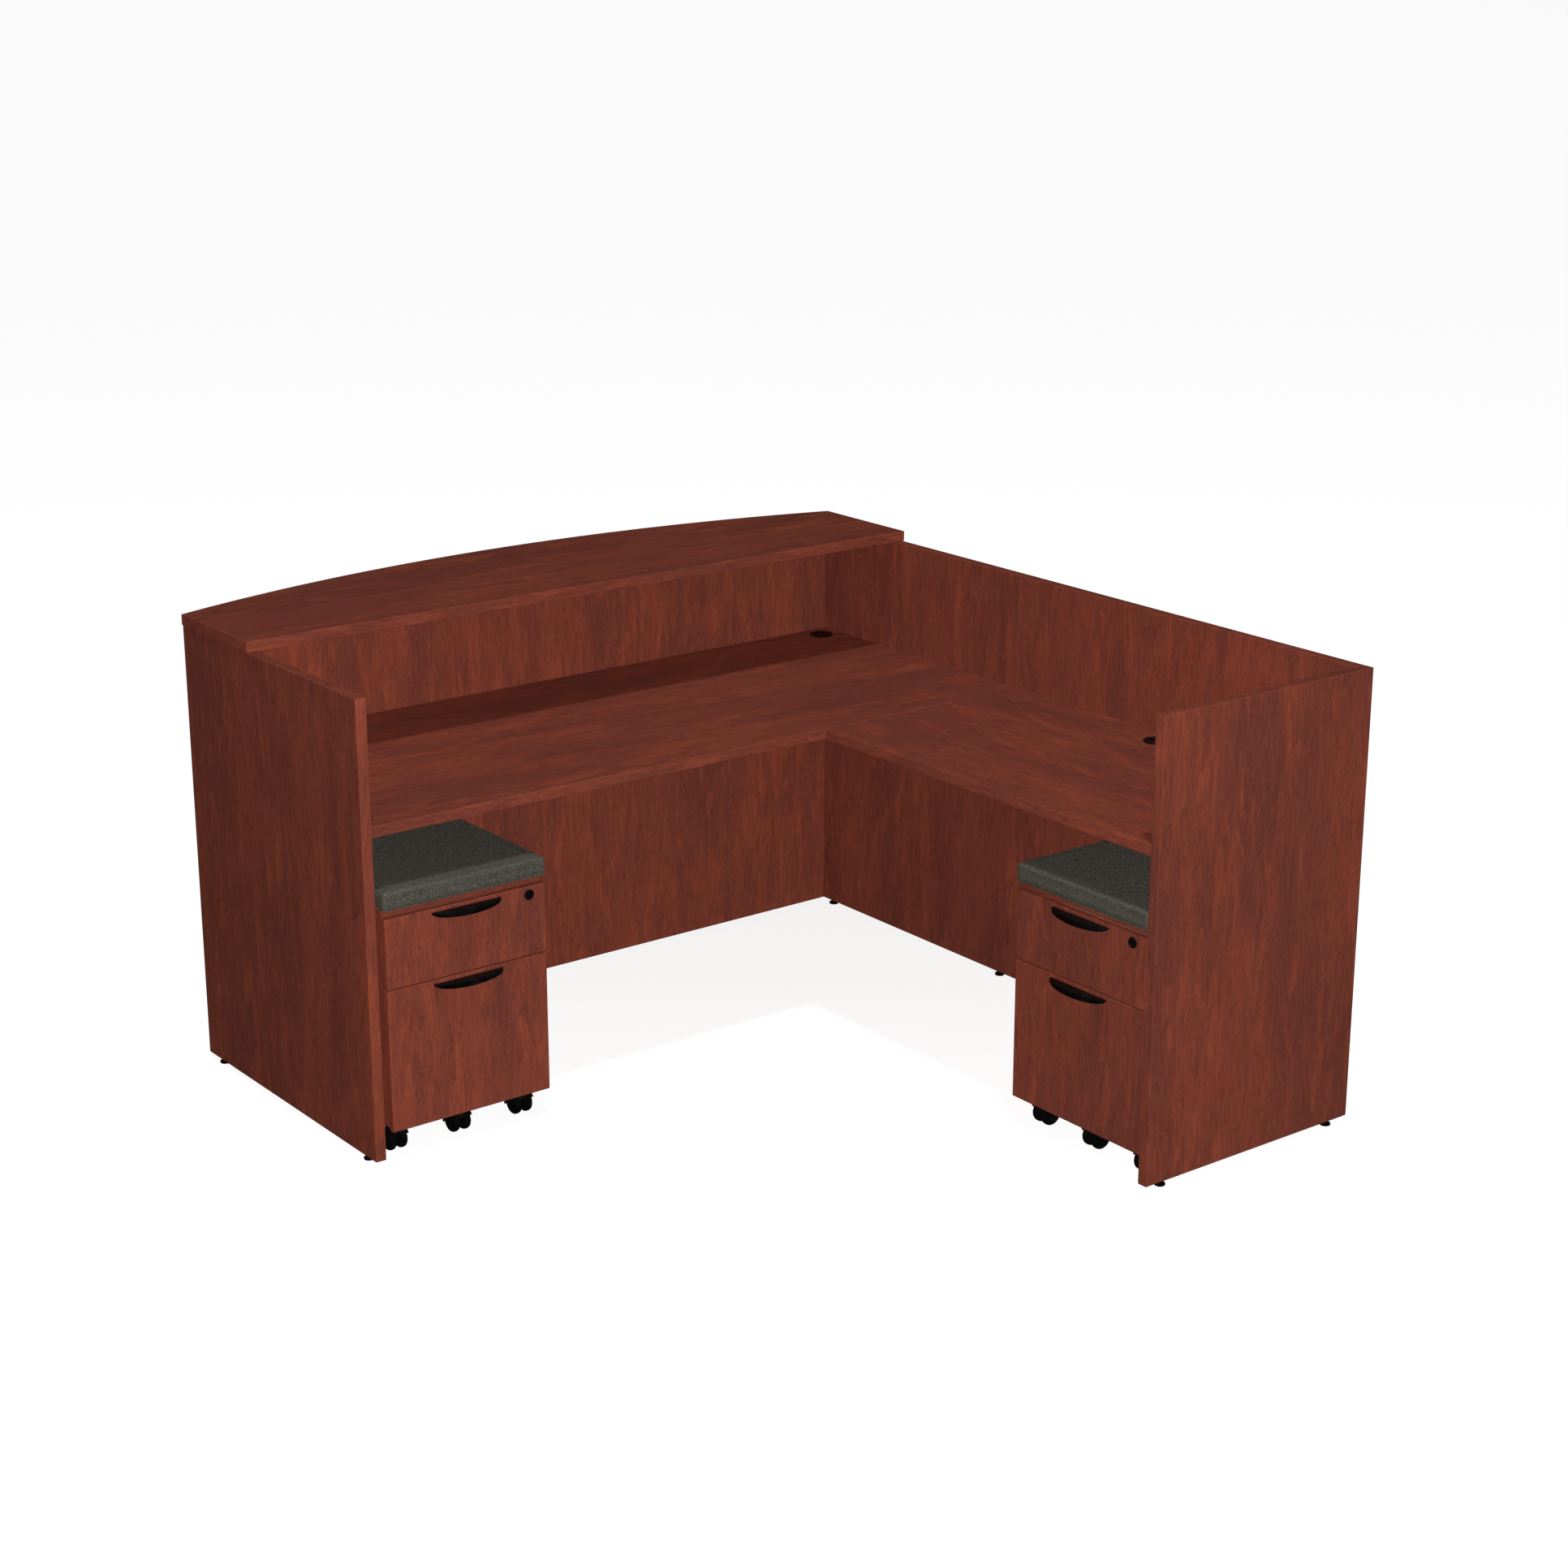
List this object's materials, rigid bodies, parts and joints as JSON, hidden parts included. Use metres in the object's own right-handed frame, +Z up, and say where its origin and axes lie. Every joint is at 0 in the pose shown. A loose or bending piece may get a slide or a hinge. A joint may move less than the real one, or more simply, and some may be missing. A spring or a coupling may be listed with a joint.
{
  "type": "reception desk",
  "caption": "L-shaped cherry laminate reception desk with a bow-fronted transaction counter, a return and mobile drawer pedestals with seat cushions",
  "frame": {"origin": "middle of the overall footprint, on the floor", "axes": "+Z up, +Y from the clerk towards the visitor, +X to the seated clerk's right, towards the return"},
  "size_m": [1.84, 2.015, 1.067],
  "materials": {
    "cherry_laminate": "satin red-brown cherry woodgrain laminate with matching edge band",
    "drawer_box": "matt light grey-beige melamine drawer box",
    "cushion_fabric": "closely woven charcoal grey upholstery fabric",
    "black_plastic": "fine-textured black moulded plastic",
    "castor_tyre": "black nylon wheel with a soft tread",
    "lock_metal": "black coated metal"
  },
  "bodies": {
    "desk": {"left_end_panel": "cherry_laminate", "right_end_panel": "cherry_laminate", "front_panel": "cherry_laminate", "transaction_counter": "cherry_laminate", "main_worksurface": "cherry_laminate", "return_back_panel": "cherry_laminate", "return_end_panel": "cherry_laminate", "return_worksurface": "cherry_laminate", "main_grommet": "black_plastic", "return_grommet": "black_plastic"},
    "foot_left_clerk": {"foot_left_clerk": "black_plastic"},
    "foot_left_visitor": {"foot_left_visitor": "black_plastic"},
    "foot_right_clerk": {"foot_right_clerk": "black_plastic"},
    "foot_right_visitor": {"foot_right_visitor": "black_plastic"},
    "foot_return_inner": {"foot_return_inner": "black_plastic"},
    "foot_return_outer": {"foot_return_outer": "black_plastic"},
    "left_pedestal": {"left_case_side_left": "cherry_laminate", "left_case_side_right": "cherry_laminate", "left_case_top": "cherry_laminate", "left_case_back_and_base": "cherry_laminate", "left_seat_cushion": "cushion_fabric"},
    "left_box_drawer": {"left_box_drawer_front": "cherry_laminate", "left_box_drawer_tray": "drawer_box", "left_box_drawer_pull": "black_plastic"},
    "left_file_drawer": {"left_file_drawer_front": "cherry_laminate", "left_file_drawer_tray": "drawer_box", "left_file_drawer_pull": "black_plastic"},
    "left_lock": {"left_lock_cylinder": "lock_metal"},
    "left_castor_front_left_swivel": {"left_castor_front_left_hood": "black_plastic"},
    "left_castor_front_left_wheels": {"left_castor_front_left_wheels": "castor_tyre"},
    "left_castor_front_middle_swivel": {"left_castor_front_middle_hood": "black_plastic"},
    "left_castor_front_middle_wheels": {"left_castor_front_middle_wheels": "castor_tyre"},
    "left_castor_front_right_swivel": {"left_castor_front_right_hood": "black_plastic"},
    "left_castor_front_right_wheels": {"left_castor_front_right_wheels": "castor_tyre"},
    "left_castor_rear_left_swivel": {"left_castor_rear_left_hood": "black_plastic"},
    "left_castor_rear_left_wheels": {"left_castor_rear_left_wheels": "castor_tyre"},
    "left_castor_rear_right_swivel": {"left_castor_rear_right_hood": "black_plastic"},
    "left_castor_rear_right_wheels": {"left_castor_rear_right_wheels": "castor_tyre"},
    "right_pedestal": {"right_case_side_left": "cherry_laminate", "right_case_side_right": "cherry_laminate", "right_case_top": "cherry_laminate", "right_case_back_and_base": "cherry_laminate", "right_seat_cushion": "cushion_fabric"},
    "right_box_drawer": {"right_box_drawer_front": "cherry_laminate", "right_box_drawer_tray": "drawer_box", "right_box_drawer_pull": "black_plastic"},
    "right_file_drawer": {"right_file_drawer_front": "cherry_laminate", "right_file_drawer_tray": "drawer_box", "right_file_drawer_pull": "black_plastic"},
    "right_lock": {"right_lock_cylinder": "lock_metal"},
    "right_castor_front_left_swivel": {"right_castor_front_left_hood": "black_plastic"},
    "right_castor_front_left_wheels": {"right_castor_front_left_wheels": "castor_tyre"},
    "right_castor_front_middle_swivel": {"right_castor_front_middle_hood": "black_plastic"},
    "right_castor_front_middle_wheels": {"right_castor_front_middle_wheels": "castor_tyre"},
    "right_castor_front_right_swivel": {"right_castor_front_right_hood": "black_plastic"},
    "right_castor_front_right_wheels": {"right_castor_front_right_wheels": "castor_tyre"},
    "right_castor_rear_left_swivel": {"right_castor_rear_left_hood": "black_plastic"},
    "right_castor_rear_left_wheels": {"right_castor_rear_left_wheels": "castor_tyre"},
    "right_castor_rear_right_swivel": {"right_castor_rear_right_hood": "black_plastic"},
    "right_castor_rear_right_wheels": {"right_castor_rear_right_wheels": "castor_tyre"}
  },
  "joints": [
    {"name": "foot_left_clerk_turn", "type": "hinge", "parent": "desk", "child": "foot_left_clerk", "pos_m": [-0.9055, 0.1345, 0], "axis": [0, 0, 1], "continuous": true},
    {"name": "foot_left_visitor_turn", "type": "hinge", "parent": "desk", "child": "foot_left_visitor", "pos_m": [-0.9055, 0.8075, 0], "axis": [0, 0, 1], "continuous": true},
    {"name": "foot_right_clerk_turn", "type": "hinge", "parent": "desk", "child": "foot_right_clerk", "pos_m": [0.9055, 0.1345, 0], "axis": [0, 0, 1], "continuous": true},
    {"name": "foot_right_visitor_turn", "type": "hinge", "parent": "desk", "child": "foot_right_visitor", "pos_m": [0.9055, 0.8075, 0], "axis": [0, 0, 1], "continuous": true},
    {"name": "foot_return_inner_turn", "type": "hinge", "parent": "desk", "child": "foot_return_inner", "pos_m": [0.355, -0.995, 0], "axis": [0, 0, 1], "continuous": true},
    {"name": "foot_return_outer_turn", "type": "hinge", "parent": "desk", "child": "foot_return_outer", "pos_m": [0.865, -0.995, 0], "axis": [0, 0, 1], "continuous": true},
    {"name": "left_pedestal_roll_out", "type": "slide", "parent": "desk", "child": "left_pedestal", "axis": [0, -1, 0], "range_m": [0, 0.3]},
    {"name": "left_box_drawer_slide", "type": "slide", "parent": "left_pedestal", "child": "left_box_drawer", "axis": [0, -1, 0], "range_m": [0, 0.3]},
    {"name": "left_file_drawer_slide", "type": "slide", "parent": "left_pedestal", "child": "left_file_drawer", "axis": [0, -1, 0], "range_m": [0, 0.4]},
    {"name": "left_lock_turn", "type": "hinge", "parent": "left_box_drawer", "child": "left_lock", "pos_m": [-0.516, 0.0815, 0.535], "axis": [0, 1, 0], "range_deg": [0, 90]},
    {"name": "left_castor_front_left_swivel", "type": "hinge", "parent": "left_pedestal", "child": "left_castor_front_left_swivel", "pos_m": [-0.834, 0.1675, 0.06], "axis": [0, 0, 1], "continuous": true},
    {"name": "left_castor_front_left_roll", "type": "hinge", "parent": "left_castor_front_left_swivel", "child": "left_castor_front_left_wheels", "pos_m": [-0.834, 0.1495, 0.025], "axis": [1, 0, 0], "continuous": true},
    {"name": "left_castor_front_middle_swivel", "type": "hinge", "parent": "left_file_drawer", "child": "left_castor_front_middle_swivel", "pos_m": [-0.674, 0.1675, 0.06], "axis": [0, 0, 1], "continuous": true},
    {"name": "left_castor_front_middle_roll", "type": "hinge", "parent": "left_castor_front_middle_swivel", "child": "left_castor_front_middle_wheels", "pos_m": [-0.674, 0.1495, 0.025], "axis": [1, 0, 0], "continuous": true},
    {"name": "left_castor_front_right_swivel", "type": "hinge", "parent": "left_pedestal", "child": "left_castor_front_right_swivel", "pos_m": [-0.514, 0.1675, 0.06], "axis": [0, 0, 1], "continuous": true},
    {"name": "left_castor_front_right_roll", "type": "hinge", "parent": "left_castor_front_right_swivel", "child": "left_castor_front_right_wheels", "pos_m": [-0.514, 0.1495, 0.025], "axis": [1, 0, 0], "continuous": true},
    {"name": "left_castor_rear_left_swivel", "type": "hinge", "parent": "left_pedestal", "child": "left_castor_rear_left_swivel", "pos_m": [-0.834, 0.5195, 0.06], "axis": [0, 0, 1], "continuous": true},
    {"name": "left_castor_rear_left_roll", "type": "hinge", "parent": "left_castor_rear_left_swivel", "child": "left_castor_rear_left_wheels", "pos_m": [-0.834, 0.5015, 0.025], "axis": [1, 0, 0], "continuous": true},
    {"name": "left_castor_rear_right_swivel", "type": "hinge", "parent": "left_pedestal", "child": "left_castor_rear_right_swivel", "pos_m": [-0.514, 0.5195, 0.06], "axis": [0, 0, 1], "continuous": true},
    {"name": "left_castor_rear_right_roll", "type": "hinge", "parent": "left_castor_rear_right_swivel", "child": "left_castor_rear_right_wheels", "pos_m": [-0.514, 0.5015, 0.025], "axis": [1, 0, 0], "continuous": true},
    {"name": "right_pedestal_roll_out", "type": "slide", "parent": "desk", "child": "right_pedestal", "axis": [-1, 0, 0], "range_m": [0, 0.3]},
    {"name": "right_box_drawer_slide", "type": "slide", "parent": "right_pedestal", "child": "right_box_drawer", "axis": [-1, 0, 0], "range_m": [0, 0.3]},
    {"name": "right_file_drawer_slide", "type": "slide", "parent": "right_pedestal", "child": "right_file_drawer", "axis": [-1, 0, 0], "range_m": [0, 0.4]},
    {"name": "right_lock_turn", "type": "hinge", "parent": "right_box_drawer", "child": "right_lock", "pos_m": [0.314, -0.9295, 0.535], "axis": [1, 0, 0], "range_deg": [0, 90]},
    {"name": "right_castor_front_left_swivel", "type": "hinge", "parent": "right_pedestal", "child": "right_castor_front_left_swivel", "pos_m": [0.4, -0.6115, 0.06], "axis": [0, 0, 1], "continuous": true},
    {"name": "right_castor_front_left_roll", "type": "hinge", "parent": "right_castor_front_left_swivel", "child": "right_castor_front_left_wheels", "pos_m": [0.382, -0.6115, 0.025], "axis": [0, -1, 0], "continuous": true},
    {"name": "right_castor_front_middle_swivel", "type": "hinge", "parent": "right_file_drawer", "child": "right_castor_front_middle_swivel", "pos_m": [0.4, -0.7715, 0.06], "axis": [0, 0, 1], "continuous": true},
    {"name": "right_castor_front_middle_roll", "type": "hinge", "parent": "right_castor_front_middle_swivel", "child": "right_castor_front_middle_wheels", "pos_m": [0.382, -0.7715, 0.025], "axis": [0, -1, 0], "continuous": true},
    {"name": "right_castor_front_right_swivel", "type": "hinge", "parent": "right_pedestal", "child": "right_castor_front_right_swivel", "pos_m": [0.4, -0.9315, 0.06], "axis": [0, 0, 1], "continuous": true},
    {"name": "right_castor_front_right_roll", "type": "hinge", "parent": "right_castor_front_right_swivel", "child": "right_castor_front_right_wheels", "pos_m": [0.382, -0.9315, 0.025], "axis": [0, -1, 0], "continuous": true},
    {"name": "right_castor_rear_left_swivel", "type": "hinge", "parent": "right_pedestal", "child": "right_castor_rear_left_swivel", "pos_m": [0.752, -0.6115, 0.06], "axis": [0, 0, 1], "continuous": true},
    {"name": "right_castor_rear_left_roll", "type": "hinge", "parent": "right_castor_rear_left_swivel", "child": "right_castor_rear_left_wheels", "pos_m": [0.734, -0.6115, 0.025], "axis": [0, -1, 0], "continuous": true},
    {"name": "right_castor_rear_right_swivel", "type": "hinge", "parent": "right_pedestal", "child": "right_castor_rear_right_swivel", "pos_m": [0.752, -0.9315, 0.06], "axis": [0, 0, 1], "continuous": true},
    {"name": "right_castor_rear_right_roll", "type": "hinge", "parent": "right_castor_rear_right_swivel", "child": "right_castor_rear_right_wheels", "pos_m": [0.734, -0.9315, 0.025], "axis": [0, -1, 0], "continuous": true}
  ]
}
